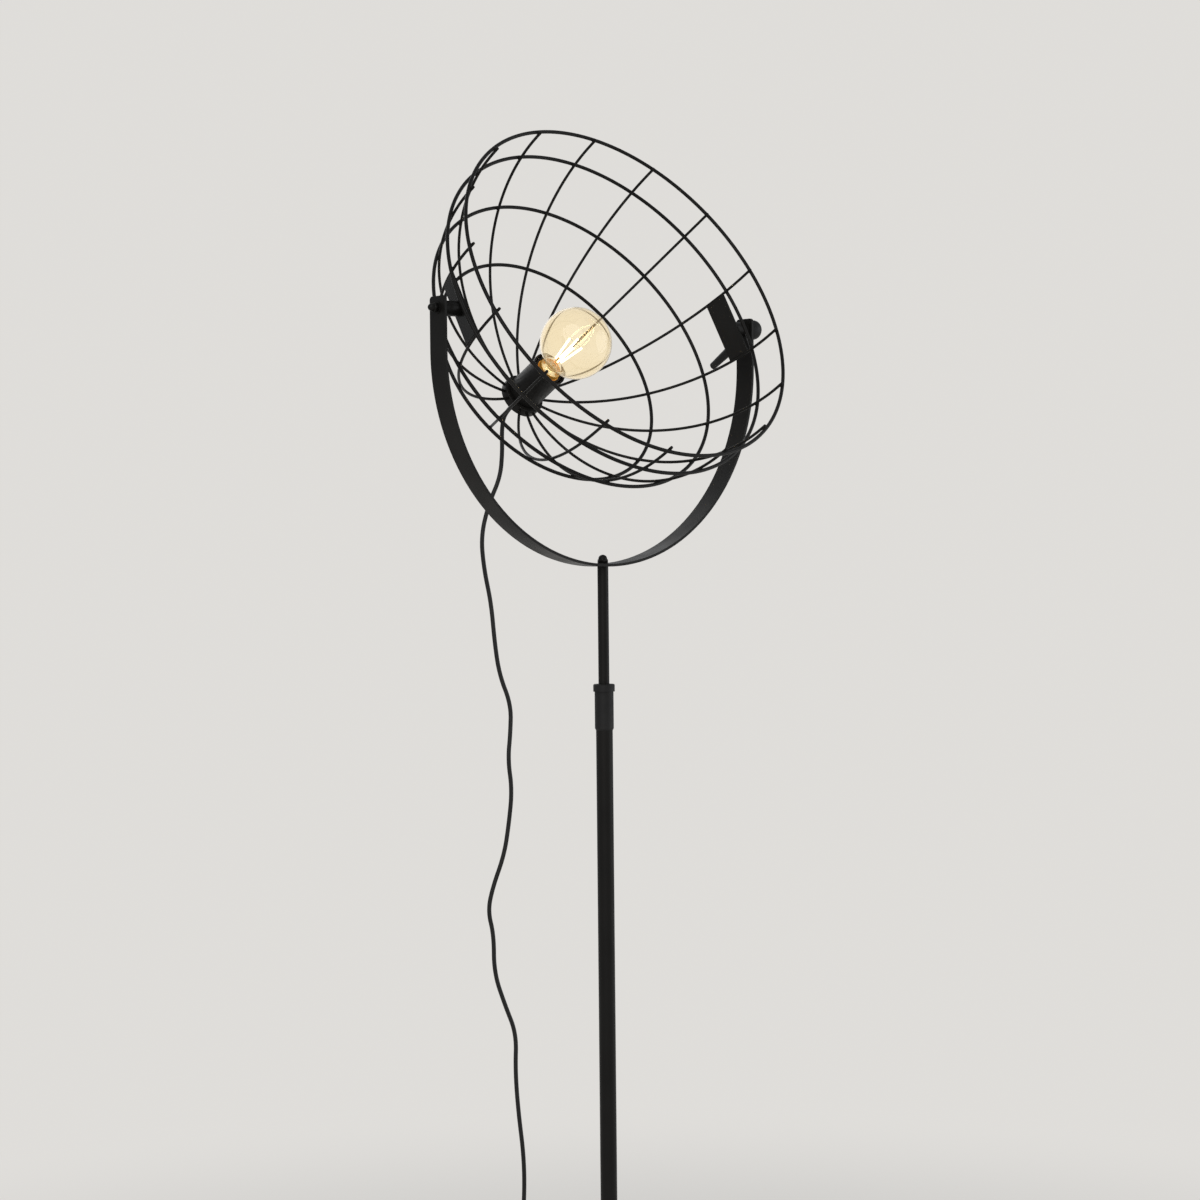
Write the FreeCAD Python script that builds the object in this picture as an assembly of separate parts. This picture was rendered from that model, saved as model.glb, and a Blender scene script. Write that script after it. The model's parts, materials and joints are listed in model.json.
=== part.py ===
import FreeCAD, Part
import math
import os

from FreeCAD import Vector

# Wire cage floor lamp, in millimetres. +Z is up, the floor is z = 0 and the mast stands on
# the Z axis. The cage tilts about an axis along X and looks towards -Y.

# ---- heights and aim
collar_top_z = 1000.0
pivot_over_collar = 399.5
aim_deg = 30.0  # the cage's axis above the level
pivot_z = collar_top_z + pivot_over_collar

# ---- clearances
run_clear = 0.06  # radial, a shaft turning or sliding in its hole
seat_clear = 0.02  # radial, a screwed or pressed piece in its seat
body_clear = 0.3  # between moving pieces that never touch
weld_sink = 0.3  # how far welded wires melt into each other

# ---- wire cage; "ahead" runs from the pivot towards the open rim
cage_radius = 210.0
pivot_latitude = 14.337  # degrees from the plane through the cage's centre back to the tilt axis
cage_centre_ahead = cage_radius * math.sin(math.radians(pivot_latitude))
rim_ahead_of_centre = 4.0
hoop_wire = 4.0
rib_wire = 3.2
rib_count = 16
rib_proud = 3.8
hoop_latitudes = {"upper_hoop": 10.1, "middle_hoop": 28.5, "lower_hoop": 47.0}  # degrees

wire_sides = 6

# ---- hub cup, lamp holder and bulb
hub_radius = 25.0
hub_depth = 10.0
hub_wall = 2.5
hub_edge = 1.0
cap_radius = 13.2
cap_length = 24.0
cap_wall = 0.4
cap_in_neck = 5.0  # how far the glass reaches into the cap
holder_over_cap = 6.8
holder_radius = cap_radius + holder_over_cap
holder_wall = 1.6
holder_edge = 1.0
holder_length = 51.0
holder_lip_length = 2.5
holder_lip_proud = 0.5
contact_depth = 27.0  # from the holder's mouth to its centre contact
sleeve_below_mouth = 3.0
cord_radius = 2.5
nipple_wall = 1.6
nipple_bore = cord_radius + 0.9
nipple_radius = nipple_bore + nipple_wall
locknut_across = 14.0
locknut_height = 4.0
globe_radius = 40.0
globe_wall = 0.8
globe_sides = 32
globe_bands = 12
neck_radius = cap_radius - cap_wall - 0.2
neck_blend = 10.0
globe_over_mouth = 51.0  # from the holder's mouth to the globe's centre
filament_count = 4
filament_radius = 0.9
filament_length = 34.0

# ---- pivots
plate_width = 25.0
plate_thickness = 3.0
boss_radius = 8.0
washer_thickness = 1.0
washer_radius = 8.0
left_stud_radius = 2.5
left_nut_across = 9.0
left_nut_height = 10.5
clamp_stud_radius = 3.0
lever_hub_radius = 11.3
lever_hub_height = 18.5
lever_round = 8.0
lever_length = 75.5
lever_drop_deg = 31.0
lever_root_radius = 7.0
lever_tip_radius = 4.3
lever_tip_round = 1.5

# ---- yoke
yoke_over_cage = 15.0
yoke_radius = cage_radius + yoke_over_cage  # to the middle of the bar
yoke_bar = 3.0
yoke_width = 25.0
yoke_straight = 44.0  # straight arm between the half circle and the pivot
yoke_over_pivot = 12.0
yoke_corner = 4.0

# ---- mast and twist collar
mast_radius = 6.0
mast_wall = 1.2
mast_depth = 440.0  # how much of the mast is in and under the collar's top
mast_stud_radius = 3.0
mast_plug_length = 24.0
mast_nut_across = 10.5
mast_nut_height = 9.0
bush_length = 22.0
tube_over_mast = 3.2
tube_radius = mast_radius + tube_over_mast
tube_wall = 1.5
collar_over_tube_side = 1.2
collar_radius = tube_radius + collar_over_tube_side
collar_flange_radius = collar_radius + 1.45
collar_flange_height = 8.0
collar_length = 50.5
collar_foot_chamfer = 1.0
collar_over_tube = 18.0
collet_spigot = 30.0
collet_slots = 3
collet_slot_width = 0.8

# ---- stand
base_radius = 140.0
base_height = 20.0
base_edge = 5.0
sheet = 1.5
pad_height = 3.0
bolt_radius = 4.0
bolt_head_height = 5.2
bolt_washer_radius = 12.0
well_radius = 14.0
well_height = 9.0
ferrule_foot = 5.0
ferrule_radius = tube_radius + ferrule_foot
ferrule_height = 14.0
foot_plug_length = 26.0

# ---- cord
grip_length = 20.0
grip_radius = cord_radius + 3.1
grip_tip_radius = cord_radius + 1.0
route_foot_z = 159.5  # where the hanging stretch begins to turn towards the floor
coil_centre = (-226.0, 170.0)
coil_outer = 33.0
coil_pitch = 2 * cord_radius + 1.2
coil_quarters = 6  # quarter turns in each of the two layers
coil_layer_step = 2 * cord_radius + 0.8
coil_exit = 40.0  # from the last loop to the plug
coil_tuck = 1.0  # the loop that climbs lies this much further in
switch_inlet = (-76.0, 203.0)
switch_length = 60.0
switch_corner = 9.0
switch_width = 30.0
switch_height = 22.0
relief_length = 20.0
relief_root_radius = cord_radius + 2.7
relief_tip_radius = cord_radius + 0.8
switch_wall = 2.0
switch_split_z = 10.0
switch_port_z = relief_root_radius + 0.3
button_radius = 9.5
button_height = 9.0
button_travel = 2.5
plug_neck = 26.0
plug_length = 56.0
plug_width = 26.0
plug_thickness = 14.0
pin_radius = 2.0
pin_length = 19.0
pin_spacing = 18.6

# ---- places that follow from the sizes above, along the cage's axis
rib_radius = cage_radius - hoop_wire / 2 - rib_wire / 2 + weld_sink
rim_ahead = cage_centre_ahead + rim_ahead_of_centre
hub_angle = math.asin((hub_radius - weld_sink) / rib_radius)
hub_front = cage_centre_ahead - rib_radius * math.cos(hub_angle) + 4.0
hub_back = hub_front - hub_depth
mouth_ahead = hub_front + holder_length
globe_ahead = mouth_ahead + globe_over_mouth
half_pitch = math.pi / rib_count
rib_at_pivot = math.sqrt(rib_radius ** 2 - cage_centre_ahead ** 2)
plate_lean = math.atan(cage_centre_ahead / rib_at_pivot * math.cos(half_pitch))
plate_x = rib_at_pivot * math.cos(half_pitch)
yoke_inner = yoke_radius - yoke_bar / 2
yoke_outer = yoke_radius + yoke_bar / 2
yoke_centre_z = pivot_z - yoke_straight
yoke_under_z = yoke_centre_z - yoke_outer
yoke_top_z = yoke_centre_z - yoke_inner
tube_top_z = collar_top_z - collar_over_tube
tube_bore = tube_radius - tube_wall
mast_foot_z = collar_top_z - mast_depth
mast_top_z = yoke_under_z - 2 * washer_thickness
base_top_z = base_height

UP = Vector(0, 0, 1)
ALONG_X = Vector(1, 0, 0)


# ---- small tools
def ring(outer, inner, low, high):
    """A round sleeve on the Z axis."""
    body = Part.makeCylinder(outer, high - low, Vector(0, 0, low))
    if inner <= 0:
        return body
    return body.cut(Part.makeCylinder(inner, high - low, Vector(0, 0, low)))


def lathe(outline):
    """A solid turned about Z. The outline is (radius, height) points; a point with a third
    value True is the middle of an arc between its two neighbours."""
    points = [Vector(p[0], 0, p[1]) for p in outline]
    through = [len(p) > 2 for p in outline]
    edges = []
    i = 0
    count = len(points)
    while i < count:
        step = 2 if through[(i + 1) % count] else 1
        start, end = points[i], points[(i + step) % count]
        if step == 2:
            edges.append(Part.Arc(start, points[i + 1], end).toShape())
        else:
            edges.append(Part.LineSegment(start, end).toShape())
        i += step
    return Part.Face(Part.Wire(edges)).revolve(Vector(0, 0, 0), UP, 360)


def on_x(shape, x, side=1):
    """Takes a piece made on the Z axis and lays it on the pivot axis, its foot at x."""
    turned = shape.copy()
    turned.rotate(Vector(0, 0, 0), Vector(0, 1, 0), 90 * side)
    turned.translate(Vector(x * side, 0, 0))
    return turned


def aimed(shape):
    """Takes a piece made with the cage's axis on Z and the pivot at the origin to its place."""
    placed = shape.copy()
    placed.rotate(Vector(0, 0, 0), ALONG_X, 90 - aim_deg)
    placed.translate(Vector(0, 0, pivot_z))
    return placed


def at_pivot(shape):
    """Lifts a piece made about the pivot axis to the pivot's height."""
    placed = shape.copy()
    placed.translate(Vector(0, 0, pivot_z))
    return placed


def hexagon(across, low, high):
    """A six-sided prism on the Z axis."""
    corner = across / math.sqrt(3)
    points = [Vector(corner * math.cos(math.radians(60 * k)), corner * math.sin(math.radians(60 * k)), low)
              for k in range(7)]
    return Part.Face(Part.makePolygon(points)).extrude(Vector(0, 0, high - low))


def cap_nut(across, height, thread):
    """A domed nut standing on z = 0, bored from below."""
    flat = 0.45 * height
    dome = 0.46 * across
    body = hexagon(across, 0, flat)
    rise = height - flat
    cover = lathe([(0, flat), (dome, flat), (0.93 * dome, flat + 0.40 * rise),
                   (0.70 * dome, flat + 0.76 * rise),
                   (0.30 * dome, height), (0, height)])
    bore = Part.makeCylinder(thread + seat_clear, 0.8 * height)
    return body.fuse(cover).removeSplitter().cut(bore)


def save(name, *solids):
    """Writes one sub-part; several solids stay separate in one file."""
    shape = solids[0] if len(solids) == 1 else Part.makeCompound(list(solids))
    shape.exportStep("parts/" + name + ".step")
    volume = sum(s.Volume for s in shape.Solids)
    print(name, "solids", len(shape.Solids), "volume", round(volume, 1), "valid", shape.isValid())


def flat_sided(centre, across, upward, corner, turn=0.0):
    """The outline of a wire or cord, drawn with a few flat sides; turn 0 puts a corner on the across side."""
    step = 2 * math.pi / wire_sides
    spots = [turn + step * k for k in range(wire_sides + 1)]
    return Part.makePolygon([centre + across * (corner * math.cos(a)) + upward * (corner * math.sin(a))
                             for a in spots])


def wire_corner(radius):
    """The corner radius that gives the flat-sided wire the round wire's section area."""
    step = 2 * math.pi / wire_sides
    return radius * math.sqrt(step / math.sin(step))


# ---- tubes along a route
def rounded_route(points):
    """Straight runs joined by tangent arcs, each as large as its two runs allow."""
    edges = []
    radii = []
    last = points[0]
    for before, corner, after in zip(points, points[1:], points[2:]):
        back = (before - corner).normalize()
        ahead = (after - corner).normalize()
        turn = math.pi - back.getAngle(ahead)
        reach = 0.45 * min((before - corner).Length, (after - corner).Length)
        radius = reach / math.tan(turn / 2)
        radii.append(radius)
        start = corner + back * reach
        end = corner + ahead * reach
        middle = (back + ahead).normalize()
        bow = corner + middle * (radius / math.cos(turn / 2) - radius)
        edges.append(Part.LineSegment(last, start).toShape())
        edges.append(Part.Arc(start, bow, end).toShape())
        last = end
    edges.append(Part.LineSegment(last, points[-1]).toShape())
    return edges, radii


def swept(edges, radius):
    """A tube along edges that meet with a shared tangent, a flat side down where it starts level."""
    path = Part.Wire(edges)
    start = edges[0].valueAt(edges[0].FirstParameter)
    heading = edges[0].tangentAt(edges[0].FirstParameter)
    beside = heading.cross(UP).normalize()
    section = Part.Wire(flat_sided(start, beside, beside.cross(heading), radius))
    pipe = Part.BRepOffsetAPI.MakePipeShell(path)
    pipe.add(section)
    pipe.build()
    pipe.makeSolid()
    return pipe.shape(), path.Length, abs(Part.Face(section).Area)


def cord_tube(name, points):
    edges, radii = rounded_route(points)
    tube, length, section = swept(edges, cord_radius)
    print(name, "length", round(length), "least radius", round(min(radii), 1),
          "volume over section x length", round(tube.Volume / section / length, 4))
    print(name, "radii", [round(r) for r in radii])
    save(name, tube)
    return length


def biarc(start, start_dir, end, end_dir):
    """Two arcs that share a tangent where they meet, from one point and heading to another."""
    across = end - start
    both = start_dir + end_dir
    a = 2 * (1 - start_dir.dot(end_dir))
    b = 2 * across.dot(both)
    c = across.dot(across)
    if abs(a) < 1e-9:
        reach = c / b
    else:
        reach = (-b + math.sqrt(b * b + 4 * a * c)) / (2 * a)
    first = start + start_dir * reach
    second = end - end_dir * reach
    joint = (first + second) * 0.5
    arcs = []
    for tip, heading, far in ((start, start_dir, joint), (end, end_dir * -1, joint)):
        chord = far - tip
        normal = heading.cross(chord).cross(heading).normalize()
        radius = chord.dot(chord) / (2 * chord.dot(normal))
        centre = tip + normal * radius
        middle = centre + ((tip - centre) + (far - centre)).normalize() * radius
        arcs.append(Part.Arc(tip, middle, far) if tip is start else Part.Arc(far, middle, tip))
    return [arc.toShape() for arc in arcs]


# ---- cage
def hoop(radius, ahead, lean):
    """A wire ring about the cage's axis, with one flat side towards the cage's centre."""
    wire = flat_sided(Vector(radius, 0, ahead), ALONG_X, UP, wire_corner(hoop_wire / 2),
                      math.pi / wire_sides - lean)
    return aimed(Part.Face(Part.Wire(wire)).revolve(Vector(0, 0, 0), UP, 360))


def cage_hoops():
    save("rim_hoop", hoop(cage_radius, rim_ahead, 0))
    for name, latitude in hoop_latitudes.items():
        lean = math.radians(latitude)
        save(name, hoop(cage_radius * math.cos(lean), cage_centre_ahead - cage_radius * math.sin(lean),
                        lean))


def one_rib():
    """A quarter circle from the hub to the widest place, then straight through the rim."""
    centre = Vector(0, 0, cage_centre_ahead)
    widest = Vector(rib_radius, 0, cage_centre_ahead)
    outline = flat_sided(widest, ALONG_X, Vector(0, 1, 0), wire_corner(rib_wire / 2), math.pi / wire_sides)
    section = Part.Face(Part.Wire(outline))
    arc = section.revolve(centre, Vector(0, 1, 0), 90 - math.degrees(hub_angle))
    tail = section.extrude(Vector(0, 0, rim_ahead_of_centre + rib_proud))
    return arc.fuse(tail)


def cage_ribs():
    rib = one_rib()
    ribs = []
    for k in range(rib_count):
        turned = rib.copy()
        turned.rotate(Vector(0, 0, 0), UP, math.degrees(half_pitch * (2 * k + 1)))
        ribs.append(aimed(turned))
    save("cage_ribs", *ribs)


def hub():
    bore = nipple_radius + seat_clear
    inside = hub_radius - hub_wall
    cup = lathe([(inside, hub_back), (hub_radius, hub_back), (hub_radius, hub_front - hub_edge),
                 (hub_radius - hub_edge, hub_front), (bore, hub_front), (bore, hub_front - hub_wall),
                 (inside, hub_front - hub_wall)])
    save("hub_cup", aimed(cup))
    nut = hexagon(locknut_across, hub_front - hub_wall - locknut_height, hub_front - hub_wall)
    nut = nut.cut(ring(nipple_radius + seat_clear, 0, hub_back, hub_front))
    save("hub_locknut", aimed(nut))


def plate_frame(shape, side):
    """Takes a piece made flat about the origin, thickness on X, to a pivot plate's place."""
    placed = shape.copy()
    placed.rotate(Vector(0, 0, 0), Vector(0, 1, 0), math.degrees(plate_lean))
    placed.translate(Vector(plate_x, 0, 0))
    return placed if side > 0 else placed.mirror(Vector(0, 0, 0), ALONG_X)


def pivot_plate(side):
    """A strap cut to a slight taper so that both ends meet the ribs along their length."""
    half = plate_width / 2
    corners = []
    for along in (half, -half):
        ahead = along * math.cos(plate_lean)
        reach = math.sqrt(rib_radius ** 2 - (cage_centre_ahead - ahead) ** 2)
        tip = reach * math.sin(half_pitch) - rib_wire / 2 + weld_sink
        corners.append((tip, along))
    (front_tip, front), (back_tip, back) = corners
    low = -plate_thickness / 2
    outline = [Vector(low, -front_tip, front), Vector(low, front_tip, front),
               Vector(low, back_tip, back), Vector(low, -back_tip, back), Vector(low, -front_tip, front)]
    strap = Part.Face(Part.makePolygon(outline)).extrude(Vector(plate_thickness, 0, 0))
    return plate_frame(strap, side)


def pivots():
    boss_end = yoke_inner - washer_thickness
    plates, bosses, washers = [], [], []
    for side, stud in ((-1, left_stud_radius), (1, clamp_stud_radius)):
        tap = on_x(Part.makeCylinder(stud + run_clear, 2 * (boss_end - plate_x)),
                   plate_x + plate_thickness, side)
        plates.append(aimed(pivot_plate(side).cut(tap)))
        boss = on_x(Part.makeCylinder(boss_radius, boss_end - plate_x), plate_x, side)
        inner_half = plate_frame(Part.makeBox(30, 60, 60, Vector(plate_thickness / 2 - 30, -30, -30)), side)
        bosses.append(aimed(boss.cut(inner_half).cut(tap)))
        washer = ring(washer_radius, stud + run_clear, 0, washer_thickness)
        washers.append(aimed(on_x(washer, boss_end, side)))
    save("pivot_plates", *plates)
    save("pivot_bosses", *bosses)
    save("friction_washers", *washers)
    left = ring(0.7 * left_nut_across, left_stud_radius + run_clear, 0, washer_thickness)
    right = ring(washer_radius, clamp_stud_radius + run_clear, 0, washer_thickness)
    save("outer_washers", at_pivot(on_x(left, yoke_outer, -1)), at_pivot(on_x(right, yoke_outer)))


def left_pivot():
    seat = yoke_outer + washer_thickness
    stud_start = plate_x + plate_thickness
    length = seat + 0.7 * left_nut_height - stud_start
    save("left_pivot_stud", at_pivot(on_x(Part.makeCylinder(left_stud_radius, length), stud_start, -1)))
    nut = cap_nut(left_nut_across, left_nut_height, left_stud_radius)
    save("left_cap_nut", at_pivot(on_x(nut, seat, -1)))


def clamp():
    """The rounded hub and tapered arm of the lever that locks the tilt, and its stud."""
    seat = yoke_outer + washer_thickness
    shoulder = lever_hub_height - lever_round
    flat = lever_hub_radius - lever_round
    rounding = [(flat + lever_round * math.cos(math.radians(a)),
                 shoulder + lever_round * math.sin(math.radians(a)))
                for a in (0, 30, 60, 90)]
    hub_body = lathe([(0, 0), (lever_hub_radius, 0)] + rounding + [(0, lever_hub_height)])
    tip = [(lever_tip_radius, lever_length - lever_tip_round),
           (lever_tip_radius - lever_tip_round, lever_length)]
    arm = lathe([(0, 0), (lever_root_radius, 0)] + tip + [(0, lever_length)])
    arm.rotate(Vector(0, 0, 0), ALONG_X, -90 - lever_drop_deg)
    arm.translate(Vector(seat + lever_root_radius + 1.0, 0, 0))
    lever = on_x(hub_body, seat).fuse(arm).removeSplitter()
    stud_start = plate_x + plate_thickness
    stud_end = seat + 0.7 * lever_hub_height
    stud = on_x(Part.makeCylinder(clamp_stud_radius, stud_end - stud_start), stud_start)
    pocket = on_x(Part.makeCylinder(clamp_stud_radius + seat_clear, stud_end - seat + 1), seat - 1)
    save("clamp_lever", at_pivot(lever.cut(pocket)))
    save("clamp_stud", at_pivot(stud))


# ---- lamp holder and bulb, on the cage's axis
def lamp_holder():
    floor_top = hub_front + holder_wall
    inside = holder_radius - holder_wall
    bore = nipple_radius + seat_clear
    lip_foot = mouth_ahead - holder_lip_length
    lip_radius = holder_radius + holder_lip_proud
    shell = lathe([(bore, hub_front), (holder_radius - holder_edge, hub_front),
                   (holder_radius, hub_front + holder_edge), (holder_radius, lip_foot),
                   (lip_radius, lip_foot), (lip_radius, mouth_ahead),
                   (inside, mouth_ahead), (inside, floor_top), (bore, floor_top)])
    save("holder_shell", aimed(shell))
    contact_face = mouth_ahead - contact_depth
    sleeve_top = mouth_ahead - sleeve_below_mouth
    sleeve_outer = cap_radius + 3.4
    screw_outer = cap_radius + 0.9
    core = lathe([(bore, floor_top), (inside - seat_clear, floor_top), (inside - seat_clear, contact_face),
                  (sleeve_outer, contact_face), (sleeve_outer, sleeve_top),
                  (screw_outer + seat_clear, sleeve_top), (screw_outer + seat_clear, contact_face),
                  (bore, contact_face)])
    save("holder_core", aimed(core))
    screw = ring(screw_outer, screw_outer - 0.5, contact_face, sleeve_top - 0.5)
    save("holder_screw_shell", aimed(screw))
    tongue = ring(nipple_radius + 3.0, 0, contact_face, contact_face + 0.6)
    save("holder_contact", aimed(tongue))
    nipple = ring(nipple_radius, nipple_bore, hub_back - 4.0, contact_face - 1.0)
    save("threaded_nipple", aimed(nipple))
    return contact_face + 0.6


def globe_outline(radius, blend, blend_r, blend_z):
    """Points down one side of the globe, round the blend and into the neck."""
    lowest = math.atan2(blend_z - globe_ahead, blend_r)
    outline = []
    for k in range(globe_bands + 1):
        angle = math.pi / 2 + (lowest - math.pi / 2) * k / globe_bands
        outline.append((max(radius * math.cos(angle), 0.5), globe_ahead + radius * math.sin(angle)))
    for share in (0.5, 1.0):
        angle = math.pi + lowest * (1 - share)
        outline.append((blend_r + blend * math.cos(angle), blend_z + blend * math.sin(angle)))
    return outline


def faceted(outline):
    """A body of flat facets about Z, through (radius, height) points."""
    step = 2 * math.pi / globe_sides
    rings = [[Vector(radius * math.cos(step * k), radius * math.sin(step * k), height)
              for k in range(globe_sides)] for radius, height in outline]
    faces = [Part.Face(Part.makePolygon(rings[0] + rings[0][:1])),
             Part.Face(Part.makePolygon(rings[-1] + rings[-1][:1]))]
    for upper, lower in zip(rings, rings[1:]):
        for k in range(globe_sides):
            after = (k + 1) % globe_sides
            corners = [upper[k], upper[after], lower[after], lower[k], upper[k]]
            faces.append(Part.Face(Part.makePolygon(corners)))
    shell = Part.makeShell(faces)
    shell.sewShape()
    body = Part.makeSolid(shell)
    if body.Volume < 0:
        body.reverse()
    return body


def bulb(contact_top):
    """A clear globe on a screw cap, with a stem and straight filaments inside."""
    cap_foot = contact_top + 4.6
    cap_top = cap_foot + cap_length
    neck_foot = cap_top - cap_in_neck
    blend_r = neck_radius + neck_blend
    drop = math.sqrt((globe_radius + neck_blend) ** 2 - blend_r ** 2)
    blend_z = globe_ahead - drop
    outer = globe_outline(globe_radius, neck_blend, blend_r, blend_z) + [(neck_radius, neck_foot)]
    inner = globe_outline(globe_radius - globe_wall, neck_blend + globe_wall, blend_r, blend_z)
    inner += [(neck_radius - globe_wall, neck_foot - 1.0)]
    save("bulb_globe", aimed(faceted(outer).cut(faceted(inner))))
    cap = lathe([(5.0, cap_foot), (cap_radius, cap_foot + 1.5), (cap_radius, cap_top),
                 (cap_radius - cap_wall, cap_top), (cap_radius - cap_wall, cap_foot + 1.9),
                 (5.0, cap_foot + 0.4)])
    save("bulb_cap", aimed(cap))
    insulator = lathe([(0, cap_foot - 3.6), (4.5, cap_foot - 3.6), (9.0, cap_foot),
                       (5.0 - seat_clear, cap_foot),
                       (5.0 - seat_clear, cap_foot + 2.0), (0, cap_foot + 2.0)])
    eyelet = ring(4.0, 0, contact_top, cap_foot - 3.6)
    save("bulb_insulator", aimed(insulator))
    save("bulb_eyelet", aimed(eyelet))
    stem_foot = neck_foot + 0.5
    stem_top = globe_ahead - drop + 12.0
    flare = (neck_radius - globe_wall) * math.cos(math.pi / globe_sides) - seat_clear
    stem = lathe([(0, stem_foot), (flare, stem_foot), (6.0, stem_foot + 6.0), (3.0, stem_foot + 14.0),
                  (2.6, stem_top), (0, stem_top)])
    save("bulb_stem", aimed(stem))
    rods = []
    for k in range(filament_count):
        rod = Part.makeCylinder(filament_radius, filament_length)
        rod.rotate(Vector(0, 0, 0), Vector(0, 1, 0), 8)
        rod.translate(Vector(2.6 + filament_radius + 0.3, 0, stem_top - 1.5))
        rod.rotate(Vector(0, 0, 0), UP, 45 + 360 * k / filament_count)
        rods.append(aimed(rod))
    save("bulb_filaments", *rods)


# ---- yoke
def yoke():
    """A flat bar bent to a half circle with two short straight arms."""
    top = yoke_straight + yoke_over_pivot
    outer = Part.makeCylinder(yoke_outer, yoke_width, Vector(0, -yoke_width / 2, 0), Vector(0, 1, 0))
    outer = outer.common(Part.makeBox(4 * yoke_outer, yoke_width, 2 * yoke_outer,
                                      Vector(-2 * yoke_outer, -yoke_width / 2, -2 * yoke_outer)))
    arms = Part.makeBox(2 * yoke_outer, yoke_width, top, Vector(-yoke_outer, -yoke_width / 2, 0))
    body = outer.fuse(arms)
    room = Part.makeCylinder(yoke_inner, yoke_width, Vector(0, -yoke_width / 2, 0), Vector(0, 1, 0))
    gap = Part.makeBox(2 * yoke_inner, yoke_width, top, Vector(-yoke_inner, -yoke_width / 2, 0))
    body = body.cut(room).cut(gap).removeSplitter()
    tips = [e for e in body.Edges if e.BoundBox.ZMin > top - 0.01 and e.BoundBox.YLength < 0.01]
    body = body.makeFillet(yoke_corner, tips)
    body.translate(Vector(0, 0, yoke_centre_z))
    left = at_pivot(on_x(Part.makeCylinder(left_stud_radius + run_clear, 20), yoke_inner - 8, -1))
    right = at_pivot(on_x(Part.makeCylinder(clamp_stud_radius + run_clear, 20), yoke_inner - 8, 1))
    foot = ring(mast_stud_radius + run_clear, 0, yoke_under_z - 1, yoke_top_z + 1)
    save("yoke", body.cut(left).cut(right).cut(foot))


# ---- mast
def mast():
    save("mast_tube", ring(mast_radius, mast_radius - mast_wall, mast_foot_z, mast_top_z))
    shank = mast_radius - mast_wall - seat_clear
    nut_seat = yoke_top_z + 0.15 + washer_thickness
    plug = ring(shank, 0, mast_top_z - mast_plug_length, mast_top_z)
    plug = plug.fuse(ring(mast_radius, 0, mast_top_z, mast_top_z + washer_thickness))
    stud_top = nut_seat + 0.7 * mast_nut_height
    plug = plug.fuse(ring(mast_stud_radius, 0, mast_top_z + washer_thickness, stud_top))
    save("mast_plug", plug.removeSplitter())
    low = ring(mast_radius, mast_stud_radius + run_clear, yoke_under_z - washer_thickness, yoke_under_z)
    high = ring(mast_radius, mast_stud_radius + run_clear, yoke_top_z + 0.15, nut_seat)
    save("mast_washers", low, high)
    nut = cap_nut(mast_nut_across, mast_nut_height, mast_stud_radius)
    nut.translate(Vector(0, 0, nut_seat))
    save("mast_cap_nut", nut)
    save("guide_bush", ring(tube_bore - run_clear, mast_radius + seat_clear, mast_foot_z,
                            mast_foot_z + bush_length))


# ---- twist collar and the split collet that it closes on the mast
def collar():
    foot_z = collar_top_z - collar_length
    flange_z = collar_top_z - collar_flange_height
    tube_side = tube_radius + run_clear
    top_hole = mast_radius + body_clear
    cone_foot = tube_top_z + 3.0
    cone_top = collar_top_z - 5.0
    body = lathe([(tube_side, foot_z), (collar_radius - collar_foot_chamfer, foot_z),
                  (collar_radius, foot_z + collar_foot_chamfer * 2), (collar_radius, flange_z),
                  (collar_flange_radius, flange_z), (collar_flange_radius, collar_top_z - 0.8),
                  (collar_flange_radius - 0.8, collar_top_z), (top_hole, collar_top_z),
                  (top_hole, cone_top), (mast_radius + 1.4, cone_top), (tube_side, cone_foot)])
    save("twist_collar", body)
    inner = mast_radius + run_clear
    spigot = tube_bore - seat_clear
    head = lathe([(inner, tube_top_z - collet_spigot), (spigot, tube_top_z - collet_spigot),
                  (spigot, tube_top_z),
                  (tube_radius - body_clear, tube_top_z), (tube_radius - body_clear, cone_foot - 0.8),
                  (mast_radius + 1.0, cone_top - body_clear), (inner, cone_top - body_clear)])
    slot = Part.makeBox(2 * tube_radius, collet_slot_width, collar_over_tube,
                        Vector(0, -collet_slot_width / 2, tube_top_z - 6.0))
    for k in range(collet_slots):
        cut = slot.copy()
        cut.rotate(Vector(0, 0, 0), UP, 360 * k / collet_slots + 30)
        head = head.cut(cut)
    save("split_collet", head)


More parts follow.
